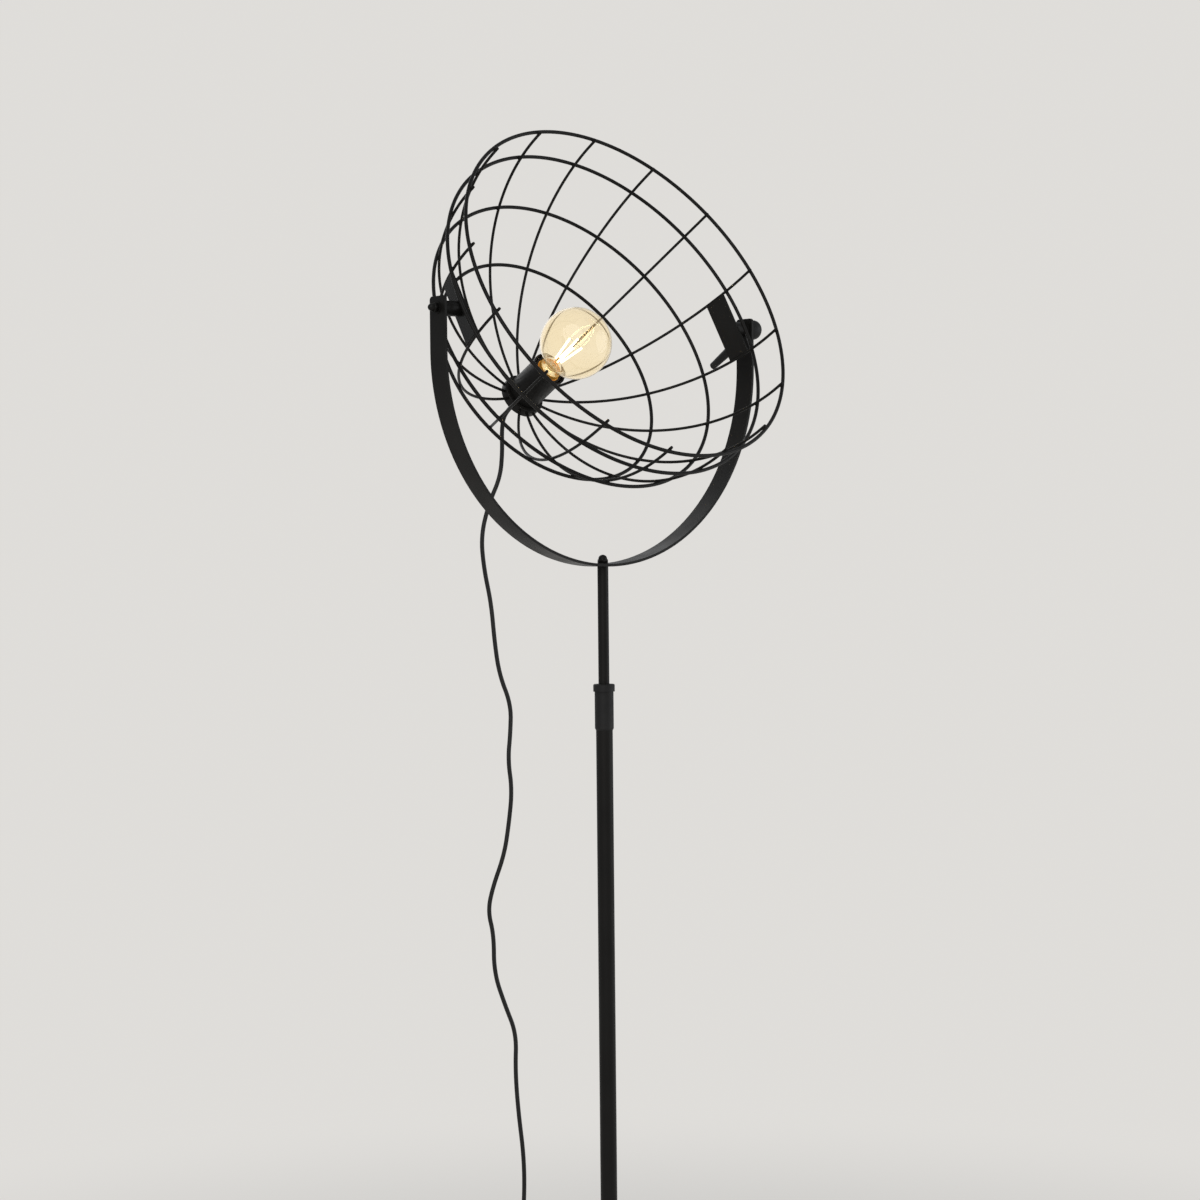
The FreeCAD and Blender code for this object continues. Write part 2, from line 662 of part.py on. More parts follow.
# ---- stand
def stand():
    save("stand_tube", ring(tube_radius, tube_bore, base_top_z, tube_top_z))
    plug = ring(tube_bore - seat_clear, 0, base_top_z, base_top_z + foot_plug_length)
    save("foot_plug", plug.cut(ring(bolt_radius + seat_clear, 0, base_top_z,
                                    base_top_z + foot_plug_length - 3)))
    save("ferrule", lathe([(tube_radius + seat_clear, base_top_z), (ferrule_radius, base_top_z),
                           (ferrule_radius, base_top_z + 3),
                           (ferrule_radius - 3.6, base_top_z + ferrule_height),
                           (tube_radius + seat_clear, base_top_z + ferrule_height)]))
    hole = bolt_radius + body_clear
    outer = [(base_radius, sheet), (base_radius, base_top_z - base_edge)]
    outer += [(base_radius - base_edge * 0.3, base_top_z - base_edge * 0.3),
              (base_radius - base_edge, base_top_z)]
    under = base_top_z - sheet
    wall = base_radius - sheet
    cover = lathe(outer + [(hole, base_top_z), (hole, under), (wall - base_edge + sheet, under),
                           (wall, under - base_edge + sheet), (wall, sheet)])
    save("base_cover", cover)
    inside = wall - body_clear
    slope = base_edge - sheet + body_clear
    weight = lathe([(hole, pad_height + well_height), (well_radius, pad_height + well_height),
                    (well_radius, pad_height), (inside, pad_height), (inside, under - slope),
                    (inside - slope, under), (hole, under)])
    save("base_weight", weight)
    save("floor_pad", ring(inside, 0, 0, pad_height))
    washer_z = pad_height + well_height - sheet
    save("base_washer", ring(bolt_washer_radius, hole, washer_z, washer_z + sheet))
    head = hexagon(1.6 * 2 * bolt_radius, washer_z - bolt_head_height, washer_z)
    shank = ring(bolt_radius, 0, washer_z, base_top_z + foot_plug_length - 6)
    save("base_bolt", head.fuse(shank).removeSplitter())


# ---- cord: grip at the hub, hanging stretches, foot switch, put-away coil and plug
def head_point(ahead):
    """A point on the cage's axis, in the lamp's own frame."""
    level = math.radians(aim_deg)
    return Vector(0, -ahead * math.cos(level), pivot_z + ahead * math.sin(level))


def cord_grip():
    tip = hub_back - 4.0 - 0.65 * grip_length
    foot = hub_front - hub_wall - locknut_height
    body = lathe([(0, tip), (grip_tip_radius, tip), (grip_radius, tip + 0.45 * grip_length),
                  (grip_radius, hub_back - 4.0), (grip_radius + 1.2, hub_back - 4.0),
                  (grip_radius + 1.2, foot),
                  (nipple_radius + seat_clear, foot), (nipple_radius + seat_clear, hub_back - 4.0),
                  (0, hub_back - 4.0)])
    save("cord_grip", aimed(body))
    return head_point(tip)


def hanging_cord(start):
    """The hand-chosen route: out of the grip, down behind the lamp and along the floor."""
    level = math.radians(aim_deg)
    out = Vector(0, math.cos(level), -math.sin(level))
    fall = (start.z - route_foot_z) / 1150
    route = [start, start + out * 15.0] + [Vector(x, start.y + dy, start.z + dz * fall) for x, dy, dz in (
        (4, 23, -25), (8, 27, -51), (6, 29, -80), (-8, 33, -110), (-17, 37, -147), (-14, 36, -185),
        (-7, 32, -225), (-5, 29, -270), (-1, 26, -307), (11, 20, -342), (8, 18, -374), (3, 17, -405),
        (8, 16, -440), (4, 18, -480), (0, 22, -515), (-11, 30, -552), (-17, 32, -579), (-11, 29, -607),
        (-13, 27, -650), (-3, 20, -688), (8, 13, -722), (4, 11, -762), (6, 9, -810), (12, 6, -868),
        (11, 6, -923), (6, 10, -981), (1, 18, -1040), (2, 27, -1098), (4, 33, -1150))]
    x, y = switch_inlet
    port = switch_port_z
    route += [Vector(3, y - 12, 116), Vector(1, y - 6, 80), Vector(-4, y - 1, 46), Vector(-16, y + 1, 18),
              Vector(x + 36, y, port), Vector(x, y, port)]
    first_cut, second_cut = 10, 18
    cuts = [(route[k] + route[k + 1]) * 0.5 for k in (first_cut, second_cut)]
    total = cord_tube("cord_upper", route[:first_cut + 1] + [cuts[0]])
    total += cord_tube("cord_middle", [cuts[0]] + route[first_cut + 1:second_cut + 1] + [cuts[1]])
    total += cord_tube("cord_lower", [cuts[1]] + route[second_cut + 1:])
    return total


def rounded_bar(low, high, shrink=0.0):
    """A bar with rounded upright edges, lying along X from the switch's inlet towards -X."""
    x, y = switch_inlet
    body = Part.makeBox(switch_length - 2 * shrink, switch_width - 2 * shrink, high - low,
                        Vector(x - switch_length + shrink, y - switch_width / 2 + shrink, low))
    upright = [e for e in body.Edges if e.BoundBox.ZLength > 0.5 * (high - low)]
    return body.makeFillet(switch_corner - shrink, upright)


def foot_switch():
    x, y = switch_inlet
    centre = Vector(x - switch_length / 2, y, 0)
    top = switch_height
    lower = rounded_bar(0, switch_split_z)
    lower = lower.cut(rounded_bar(switch_wall, switch_split_z, switch_wall))
    upper = rounded_bar(switch_split_z, top)
    upper = upper.makeChamfer(2.5, [e for e in upper.Edges if e.BoundBox.ZMin > top - 0.01])
    upper = upper.cut(rounded_bar(switch_split_z, top - switch_wall, switch_wall))
    bore = Part.makeCylinder(button_radius + body_clear, 30, centre + Vector(0, 0, switch_split_z))
    upper = upper.cut(bore)
    block_height = top - button_height - 0.5 - switch_wall
    block = Part.makeBox(24, switch_width - 2 * switch_wall - 1, block_height - button_travel,
                         centre + Vector(-12, -(switch_width - 2 * switch_wall - 1) / 2, switch_wall))
    cap_low = top + 3.0 - button_height
    button = Part.makeCylinder(button_radius, button_height, centre + Vector(0, 0, cap_low))
    button = button.makeChamfer(1.2,
                                [e for e in button.Edges if e.BoundBox.ZMin > cap_low + button_height - 0.01])
    collar_z = cap_low
    flange = Part.makeCylinder(button_radius + 1.6, 1.2, centre + Vector(0, 0, collar_z))
    button = button.fuse(flange)
    save("switch_lower_shell", lower)
    save("switch_upper_shell", upper)
    save("switch_contact_block", block)
    save("switch_button", button)
    sleeve = lathe([(cord_radius + seat_clear, 0), (relief_root_radius, 0),
                    (relief_tip_radius, relief_length),
                    (cord_radius + seat_clear, relief_length)])
    reliefs = []
    for side, end in ((1, x), (-1, x - switch_length)):
        relief = sleeve.copy()
        relief.rotate(Vector(0, 0, 0), Vector(0, 1, 0), 90 * side)
        relief.translate(Vector(end, y, switch_port_z))
        reliefs.append(relief)
    save("switch_reliefs", *reliefs)


def coil():
    """The put-away cord: two layers of loops, in and out again, then out to the plug."""
    cx, cy = coil_centre
    x, y = switch_inlet
    outlet = Vector(x - switch_length, y, switch_port_z)
    west = Vector(-1, 0, 0)
    steps = []
    quarter_shrink = coil_pitch / 4
    quarters = coil_quarters
    for q in range(quarters + 1):
        steps.append((q, coil_outer - q * quarter_shrink, cord_radius))
    low_radius = coil_outer - quarters * quarter_shrink
    steps.append((quarters + 1, low_radius - coil_tuck, cord_radius + coil_layer_step / 2))
    for q in range(quarters + 1):
        steps.append((quarters + 2 + q, low_radius + q * quarter_shrink, cord_radius + coil_layer_step))
    places = []
    for q, radius, height in steps:
        angle = math.pi / 2 * (q + 1)
        place = Vector(cx + radius * math.cos(angle), cy + radius * math.sin(angle), height)
        climb = 1.5 * coil_layer_step / (math.pi * low_radius) if q == quarters + 1 else 0
        heading = Vector(-math.sin(angle), math.cos(angle), climb).normalize()
        places.append((place, heading))
    lead_in = outlet + west * (relief_length + cord_radius)
    last_place, last_heading = places[-1]
    entry = last_place + Vector(coil_exit, 0, plug_thickness / 2 - last_place.z)
    lead_out = entry - Vector(2 * cord_radius, 0, 0)
    places = [(lead_in, west)] + places + [(lead_out, Vector(1, 0, 0))]
    edges = [Part.LineSegment(outlet, lead_in).toShape()]
    for (a, a_dir), (b, b_dir) in zip(places, places[1:]):
        edges += biarc(a, a_dir, b, b_dir)
    edges.append(Part.LineSegment(lead_out, entry).toShape())
    tube, length, section = swept(edges, cord_radius)
    print("cord_coil length", round(length), "least gap to itself", round(own_gap(edges), 2),
          "volume over section x length", round(tube.Volume / section / length, 4))
    save("cord_coil", tube)
    return entry, length


def own_gap(edges):
    """The least gap of the coil to itself, measured on points along its middle line."""
    points = []
    travelled = []
    run = 0.0
    for edge in edges:
        count = max(2, int(edge.Length / 1.5))
        for k in range(count):
            at = edge.getParameterByLength(edge.Length * k / count)
            points.append(edge.valueAt(at))
            travelled.append(run + edge.Length * k / count)
        run += edge.Length
    least = 1e9
    for i, p in enumerate(points):
        for j in range(i + 1, len(points)):
            if travelled[j] - travelled[i] > 12 * cord_radius:
                least = min(least, (p - points[j]).Length)
    return least - 2 * cord_radius


def plug(entry):
    """A flat two-pin plug lying on the floor, its cord entry at the back."""
    z = entry.z
    back = Vector(entry.x, entry.y, z)
    half_w = plug_width / 2
    outline = [(0, cord_radius + 1.5), (plug_neck, cord_radius + 3.5), (plug_neck + 8, half_w),
               (plug_length - 3, half_w), (plug_length, half_w - 2)]
    points = [Vector(back.x + a, back.y - b, 0) for a, b in outline]
    points += [Vector(back.x + a, back.y + b, 0) for a, b in reversed(outline)]
    points.append(points[0])
    body = Part.Face(Part.makePolygon(points)).extrude(Vector(0, 0, plug_thickness))
    long_edges = [e for e in body.Edges if e.BoundBox.ZLength < 0.01 and e.BoundBox.XLength > 2]
    body = body.makeChamfer(2.0, long_edges)
    for side in (-1, 1):
        hole = Part.makeCylinder(pin_radius, 12,
                                 Vector(back.x + plug_length - 12, back.y + side * pin_spacing / 2, z),
                                 ALONG_X)
        body = body.cut(hole)
    save("plug_body", body)
    pins = []
    for side in (-1, 1):
        foot = Vector(back.x + plug_length - 12, back.y + side * pin_spacing / 2, z)
        pins.append(Part.makeCylinder(pin_radius - seat_clear, 12 + pin_length, foot, ALONG_X))
    save("plug_pins", *pins)


def main():
    os.makedirs("parts", exist_ok=True)
    cage_hoops()
    cage_ribs()
    hub()
    pivots()
    left_pivot()
    clamp()
    bulb(lamp_holder())
    yoke()
    mast()
    collar()
    stand()
    start = cord_grip()
    length = hanging_cord(start)
    foot_switch()
    entry, coiled = coil()
    plug(entry)
    print("cord in all", round(length + coiled), "pivot at", pivot_z)


main()
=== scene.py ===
import json
import math

import bmesh
import bpy
from mathutils import Matrix, Vector


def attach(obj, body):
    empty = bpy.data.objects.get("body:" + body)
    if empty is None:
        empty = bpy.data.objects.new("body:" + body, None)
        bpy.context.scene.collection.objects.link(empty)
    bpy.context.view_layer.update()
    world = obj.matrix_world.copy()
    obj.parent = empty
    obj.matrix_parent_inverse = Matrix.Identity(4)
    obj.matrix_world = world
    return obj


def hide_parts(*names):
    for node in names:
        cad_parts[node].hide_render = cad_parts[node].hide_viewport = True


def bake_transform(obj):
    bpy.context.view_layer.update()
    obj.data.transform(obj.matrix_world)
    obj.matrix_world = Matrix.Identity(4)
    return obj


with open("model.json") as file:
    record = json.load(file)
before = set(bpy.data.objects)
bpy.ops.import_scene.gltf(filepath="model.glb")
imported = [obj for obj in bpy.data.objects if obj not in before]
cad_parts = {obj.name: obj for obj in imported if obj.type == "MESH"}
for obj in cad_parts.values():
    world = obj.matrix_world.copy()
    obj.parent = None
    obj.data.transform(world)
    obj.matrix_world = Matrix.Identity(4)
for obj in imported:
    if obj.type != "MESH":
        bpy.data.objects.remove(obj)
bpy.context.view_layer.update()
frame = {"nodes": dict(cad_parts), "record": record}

# Everything is in metres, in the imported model's frame: the mast stands on Z, the cage tilts about X.

# ---- sizes that the looks share with the solids
PIVOT_Z = 1.3995
AIM = math.radians(30)
CAGE_R = 0.210
CENTRE_AHEAD = 0.052
HOOP_WIRE = 0.0020
RIB_WIRE = 0.0016
WELD_SINK = 0.0003
RIB_R = CAGE_R - HOOP_WIRE - RIB_WIRE + WELD_SINK
RIM_PAST_CENTRE = 0.004
RIB_PROUD = 0.0038
RIBS = 16
LATITUDES = {"upper_hoop": 10.1, "middle_hoop": 28.5, "lower_hoop": 47.0}
HUB_R = 0.025
HUB_WALL = 0.0025
HUB_ANGLE = math.asin((HUB_R - WELD_SINK) / RIB_R)
HUB_FRONT = CENTRE_AHEAD - RIB_R * math.cos(HUB_ANGLE) + 0.004
HUB_BACK = HUB_FRONT - 0.010
NIPPLE_HOLE = 0.00502
GRIP_TIP = HUB_FRONT - 0.027
MOUTH = HUB_FRONT + 0.051
HOLDER_R = 0.020
HOLDER_WALL = 0.0016
GLOBE_R = 0.040
GLOBE_WALL = 0.0008
GLOBE_AHEAD = MOUTH + 0.051
CAP_R = 0.0132
NECK_R = 0.0126
NECK_BLEND = 0.010
NECK_DROP = math.sqrt((GLOBE_R + NECK_BLEND) ** 2 - (NECK_R + NECK_BLEND) ** 2)
CAP_FOOT = MOUTH - 0.027 + 0.0006 + 0.0046
CAP_TOP = CAP_FOOT + 0.024
NECK_FOOT = CAP_TOP - 0.005
YOKE_OUTER = 0.2265
YOKE_TOP_Z = 1.1319
WASHER = 0.001
CORD_D = 0.005


def aimed(x, y, ahead):
    """A point given across, up and ahead in the cage's own frame."""
    turn = math.pi / 2 - AIM
    return Vector((x, y * math.cos(turn) - ahead * math.sin(turn),
                   PIVOT_Z + y * math.sin(turn) + ahead * math.cos(turn)))


# ---- mesh tools
TIP_BULGE = 0.45
TIP_STEPS = 3
AXIS_HOLE = 0.00001


def piece(name, verts, faces):
    """A smooth-shaded mesh object with its faces turned outwards."""
    mesh = bpy.data.meshes.new(name)
    mesh.from_pydata([tuple(v) for v in verts], [], faces)
    bm = bmesh.new()
    bm.from_mesh(mesh)
    bmesh.ops.recalc_face_normals(bm, faces=bm.faces)
    bm.to_mesh(mesh)
    bm.free()
    mesh.polygons.foreach_set("use_smooth", [True] * len(mesh.polygons))
    obj = bpy.data.objects.new(name, mesh)
    bpy.context.scene.collection.objects.link(obj)
    return obj


def band(low, high, sides):
    """The faces between two rings of vertices, given the number of each ring's first one."""
    pairs = [(k, (k + 1) % sides) for k in range(sides)]
    return [(low + k, low + m, high + m, high + k) for k, m in pairs]


def rounded_tip(verts, rim, centre, ahead, radius, sides):
    """Closes a tube's end with a low dome: adds its vertices and returns its faces."""
    base = len(verts)
    for step in range(1, TIP_STEPS):
        lift = math.pi / 2 * step / TIP_STEPS
        for k in range(sides):
            at = verts[rim + k]
            inward = (centre - at) * (1 - math.cos(lift))
            verts.append(at + inward + ahead * radius * TIP_BULGE * math.sin(lift))
    verts.append(centre + ahead * radius * TIP_BULGE)
    apex = len(verts) - 1
    rows = [rim] + [base + step * sides for step in range(TIP_STEPS - 1)]
    faces = []
    for low, high in zip(rows, rows[1:]):
        faces += band(low, high, sides)
    faces += [(rows[-1] + k, rows[-1] + (k + 1) % sides, apex) for k in range(sides)]
    return faces


def tube(points, radius, closed=False, sides=16):
    """Rings round a line of points, carried along without twist. Returns verts and faces."""
    count = len(points)
    tangents = []
    for i in range(count):
        before = points[(i - 1) % count] if closed or i else points[0]
        after = points[(i + 1) % count] if closed or i < count - 1 else points[-1]
        tangents.append((after - before).normalized())
    side = tangents[0].orthogonal().normalized()
    verts, faces = [], []
    for i in range(count):
        side = (side - tangents[i] * side.dot(tangents[i])).normalized()
        other = tangents[i].cross(side)
        for k in range(sides):
            a = 2 * math.pi * k / sides
            verts.append(points[i] + (side * math.cos(a) + other * math.sin(a)) * radius)
    for i in range(count if closed else count - 1):
        faces += band(i * sides, (i + 1) % count * sides, sides)
    if not closed:
        for end, ahead in ((0, -tangents[0]), (count - 1, tangents[-1])):
            faces += rounded_tip(verts, end * sides, points[end], ahead, radius, sides)
    return verts, faces


def merge(parts):
    """Several (verts, faces) as one."""
    verts, faces = [], []
    for v, f in parts:
        base = len(verts)
        verts += v
        faces += [tuple(i + base for i in face) for face in f]
    return verts, faces


def ring(place, radius, height, sides):
    """One ring of a lathe form: place puts (x, y, height) in the frame."""
    angles = [2 * math.pi * k / sides for k in range(sides)]
    return [place(radius * math.cos(a), radius * math.sin(a), height) for a in angles]


def turned(profile, place, sides=96, closed=True):
    """A lathe form from (radius, height) points. Closed joins its last ring to its first."""
    verts, faces = [], []
    for radius, height in profile:
        verts += ring(place, radius, height, sides)
    count = len(profile)
    for i in range(count if closed else count - 1):
        faces += band(i * sides, (i + 1) % count * sides, sides)
    return verts, faces


def closed_lathe(profile, place, sides):
    """A turned body whose profile starts and ends on its axis."""
    return turned([(max(r, AXIS_HOLE), h) for r, h in profile], place, sides, closed=False)


def rounded(corner, start, end, centre, steps):
    """Points of an arc between two angles in degrees."""
    spots = []
    for k in range(steps + 1):
        a = math.radians(start + (end - start) * k / steps)
        spots.append((centre[0] + corner * math.cos(a), centre[1] + corner * math.sin(a)))
    return spots


# ---- materials
NOISE_LOW, NOISE_HIGH = 0.35, 0.65


class Nodes:
    """A short hand for building one material's node tree."""

    def __init__(self, name):
        self.mat = bpy.data.materials.new(name)
        self.mat.use_nodes = True
        self.tree = self.mat.node_tree
        self.tree.nodes.clear()
        self.out = self.tree.nodes.new("ShaderNodeOutputMaterial")
        self.bsdf = self.tree.nodes.new("ShaderNodeBsdfPrincipled")
        self.link(self.bsdf.outputs[0], self.out.inputs["Surface"])
        self.coords = self.tree.nodes.new("ShaderNodeTexCoord").outputs["Object"]

    def link(self, a, b):
        self.tree.links.new(a, b)

    def set(self, **values):
        for name, value in values.items():
            self.bsdf.inputs[name.replace("_", " ")].default_value = value

    def noise(self, scale, detail=3.0, rough=0.5, stretch=None):
        node = self.tree.nodes.new("ShaderNodeTexNoise")
        node.inputs["Scale"].default_value = scale
        node.inputs["Detail"].default_value = detail
        node.inputs["Roughness"].default_value = rough
        source = self.coords
        if stretch:
            mapping = self.tree.nodes.new("ShaderNodeMapping")
            mapping.inputs["Scale"].default_value = stretch
            self.link(self.coords, mapping.inputs["Vector"])
            source = mapping.outputs[0]
        self.link(source, node.inputs["Vector"])
        return node.outputs["Fac"]

    def colours(self, fac, first, second, start=0.3, end=0.7, socket="Base Color"):
        """A colour that goes from the first to the second with the noise."""
        node = self.tree.nodes.new("ShaderNodeValToRGB")
        for element, place, colour in zip(node.color_ramp.elements, (start, end), (first, second)):
            element.position = place
            element.color = (*colour, 1)
        self.link(fac, node.inputs["Fac"])
        self.link(node.outputs["Color"], self.bsdf.inputs[socket])

    def roughness(self, fac, low, high):
        """A roughness that goes from low to high with the noise."""
        node = self.tree.nodes.new("ShaderNodeMapRange")
        node.inputs["From Min"].default_value = NOISE_LOW
        node.inputs["From Max"].default_value = NOISE_HIGH
        node.inputs["To Min"].default_value = low
        node.inputs["To Max"].default_value = high
        self.link(fac, node.inputs["Value"])
        self.link(node.outputs["Result"], self.bsdf.inputs["Roughness"])

    def bump(self, fac, strength, distance):
        node = self.tree.nodes.new("ShaderNodeBump")
        node.inputs["Strength"].default_value = strength
        node.inputs["Distance"].default_value = distance
        self.link(fac, node.inputs["Height"])
        self.link(node.outputs["Normal"], self.bsdf.inputs["Normal"])


def powder_coat():
    """Satin black powder coat: fine orange peel, a little cloudiness in the gloss."""
    n = Nodes("black_powder_coat")
    n.set(Metallic=0.0, IOR=1.45, Specular_IOR_Level=0.13)
    n.colours(n.noise(9, detail=4, rough=0.55), (0.0062, 0.0059, 0.0055), (0.0112, 0.0105, 0.0097),
              end=0.72)
    n.roughness(n.noise(38), low=0.36, high=0.44)
    n.bump(n.noise(240, detail=2), strength=0.03, distance=0.0001)
    return n.mat


def moulded_plastic():
    """Black moulded plastic with a fine eroded grain."""
    n = Nodes("black_moulded_plastic")
    n.set(Metallic=0.0, IOR=1.45, Specular_IOR_Level=0.24)
    n.colours(n.noise(25), (0.0075, 0.0075, 0.0078), (0.0135, 0.0133, 0.0132))
    n.roughness(n.noise(160), low=0.46, high=0.60)
    n.bump(n.noise(2200, rough=0.7), strength=0.10, distance=0.00018)
    return n.mat


def cord_jacket():
    """Smooth black jacket with a faint drawn surface."""
    n = Nodes("black_cord_jacket")
    n.set(Metallic=0.0, IOR=1.45, Specular_IOR_Level=0.30)
    n.colours(n.noise(18), (0.0065, 0.0065, 0.0065), (0.0115, 0.0115, 0.0112))
    n.roughness(n.noise(90), low=0.40, high=0.54)
    n.bump(n.noise(900, detail=2), strength=0.12, distance=0.0002)
    return n.mat


def zinc():
    """Bright zinc plating with a brushed, slightly cloudy surface."""
    n = Nodes("zinc_plate")
    n.set(Metallic=1.0)
    n.colours(n.noise(60, detail=4), (0.46, 0.47, 0.49), (0.62, 0.62, 0.61))
    n.roughness(n.noise(240, rough=0.6, stretch=(1, 1, 8)), low=0.28, high=0.44)
    n.bump(n.noise(900, detail=2, rough=0.6, stretch=(1, 1, 12)), strength=0.12, distance=0.0001)
    return n.mat


def brass():
    """Pressed brass with uneven colour, and a faint glow as if lit by the filaments above it."""
    n = Nodes("pressed_brass")
    n.set(Metallic=1.0, Emission_Color=(1.0, 0.47, 0.07, 1), Emission_Strength=0.17)
    n.colours(n.noise(120, detail=4), (0.46, 0.25, 0.06), (0.76, 0.47, 0.14), start=0.28, end=0.72)
    n.roughness(n.noise(300), low=0.24, high=0.38)
    n.bump(n.noise(700), strength=0.06, distance=0.0001)
    return n.mat


def nickel():
    """Bright nickel plating."""
    n = Nodes("nickel_plate")
    n.set(Metallic=1.0)
    n.colours(n.noise(100), (0.62, 0.61, 0.57), (0.76, 0.74, 0.70))
    n.roughness(n.noise(400), low=0.14, high=0.26)
    n.bump(n.noise(1200, detail=2), strength=0.05, distance=0.0001)
    return n.mat


def cast_iron():
    """Rough, dark castings."""
    n = Nodes("cast_iron")
    n.set(Metallic=0.6)
    n.colours(n.noise(70, detail=5), (0.05, 0.05, 0.05), (0.12, 0.115, 0.11))
    n.roughness(n.noise(200, detail=4), low=0.55, high=0.8)
    n.bump(n.noise(500, detail=4), strength=0.4, distance=0.0004)
    return n.mat


def pad_rubber():
    """Dull black rubber."""
    n = Nodes("pad_rubber")
    n.colours(n.noise(80), (0.02, 0.02, 0.02), (0.035, 0.035, 0.034))
    n.roughness(n.noise(300), low=0.7, high=0.9)
    n.bump(n.noise(900, detail=4), strength=0.3, distance=0.0003)
    return n.mat


def cap_glass():
    """The black glass that parts the two contacts of the bulb's cap."""
    n = Nodes("black_cap_glass")
    n.set(IOR=1.5)
    n.colours(n.noise(90), (0.012, 0.012, 0.014), (0.03, 0.03, 0.033))
    n.roughness(n.noise(260), low=0.08, high=0.2)
    return n.mat


def globe_glass():
    """Clear blown glass with a slightly uneven warm tint, and a faint painted glow in the glass that stands
    in for the haze of the lit filaments.
    """
    n = Nodes("clear_globe_glass")
    n.set(Transmission_Weight=1.0, IOR=1.45, Roughness=0.0)
    # painted glow: the glass itself emits a faint warm light in place of the filaments' haze
    n.set(Emission_Color=(1.0, 0.70, 0.30, 1), Emission_Strength=0.045)
    n.colours(n.noise(14, detail=2), (1.0, 0.94, 0.79), (1.0, 0.96, 0.84))
    return n.mat


def filament_glow():
    """Lit filaments, near white where they are brightest and amber beside that."""
    n = Nodes("filament_glow")
    n.set(Roughness=0.5, Emission_Strength=14.0)
    n.colours(n.noise(900, detail=2), (1.0, 0.72, 0.34), (1.0, 0.86, 0.58))
    n.colours(n.noise(700, detail=2), (1.0, 0.66, 0.30), (1.0, 0.84, 0.56), start=0.0, end=1.0,
              socket="Emission Color")
    return n.mat


MATS = {
    "black_steel": powder_coat(),
    "black_plastic": moulded_plastic(),
    "cord_jacket": cord_jacket(),
    "zinc_steel": zinc(),
    "brass": brass(),
    "nickel": nickel(),
    "iron": cast_iron(),
    "pad_rubber": pad_rubber(),
    "cap_glass": cap_glass(),
    "clear_glass": globe_glass(),
    "filament": filament_glow(),
}


def dress(obj, slot_name):
    """One material all over, and the slot that it stands for."""
    obj.data.materials.clear()
    obj.data.materials.append(MATS[slot_name])


def stand_in(name, shape, node, body, slot_name):
    """A shaped piece that is seen in place of a node's solids and rides on one body."""
    obj = piece(name, *shape)
    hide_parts(node)
    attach(obj, body)
    dress(obj, slot_name)
    return obj


def calm_glow():
    """The filaments are seen, while the studio lights alone light the pieces round them."""
    glow = frame["nodes"]["bulb_filaments"]
    glow.visible_diffuse = False
    glow.visible_glossy = False


def dress_nodes():
    """Every carried-over node takes its slot's material."""
    slots = {s["node"]: s["material_slot"] for s in frame["record"]["subparts"]}
    for name, obj in frame["nodes"].items():
        if obj.type != "MESH":
            continue
        if not obj.material_slots:
            obj.data.materials.append(MATS[slots[name]])
        for place in obj.material_slots:
            place.material = MATS[slots[name]]


# ---- the wire cage
HOOP_STEPS = 192
RIB_STEPS = 40
WELD_ROWS, WELD_SIDES = 6, 10
WELD_REACH = HOOP_WIRE - 0.2 * WELD_SINK
WELD_HALF_WIDTH = 0.0021
WELD_HALF_DEPTH = 0.0011
SAME_POINT = 1e-6


def hoop(name, radius, ahead):
    angles = [2 * math.pi * k / HOOP_STEPS for k in range(HOOP_STEPS)]
    points = [aimed(radius * math.cos(a), radius * math.sin(a), ahead) for a in angles]
    stand_in(name + "_wire", tube(points, HOOP_WIRE, closed=True), name, "cage", "black_steel")


def rib_angle(k):
    return math.pi / RIBS * (2 * k + 1)


def rib_line(k):
    """One rib from the hub to its end past the rim."""
    around = rib_angle(k)
    points = []
    for i in range(RIB_STEPS + 1):
        a = HUB_ANGLE + (math.pi / 2 - HUB_ANGLE) * i / RIB_STEPS
        out, ahead = RIB_R * math.sin(a), CENTRE_AHEAD - RIB_R * math.cos(a)
        points.append(aimed(out * math.cos(around), out * math.sin(around), ahead))
    for past in (0.4, 1.0):
        ahead = CENTRE_AHEAD + (RIM_PAST_CENTRE + RIB_PROUD) * past
        points.append(aimed(RIB_R * math.cos(around), RIB_R * math.sin(around), ahead))
    return points


def weld(radius, ahead, around, lean):
    """A small bead of melted wire where a rib meets a hoop."""
    outward = (math.cos(lean), -math.sin(lean))
    out = radius - outward[0] * WELD_REACH
    fore = ahead - outward[1] * WELD_REACH
    verts, faces = [], []
    for i in range(WELD_ROWS + 1):
        lift = math.pi * i / WELD_ROWS
        for k in range(WELD_SIDES):
            turn = 2 * math.pi * k / WELD_SIDES
            along_hoop = WELD_HALF_WIDTH * math.sin(lift) * math.cos(turn)
            along_rib = WELD_HALF_WIDTH * math.sin(lift) * math.sin(turn)
            deep = WELD_HALF_DEPTH * math.cos(lift)
            r = out + deep * outward[0] + along_rib * math.sin(lean)
            s = fore + deep * outward[1] + along_rib * math.cos(lean)
            verts.append(aimed(r * math.cos(around) - along_hoop * math.sin(around),
                               r * math.sin(around) + along_hoop * math.cos(around), s))
    for i in range(WELD_ROWS):
        faces += band(i * WELD_SIDES, (i + 1) * WELD_SIDES, WELD_SIDES)
    return verts, faces


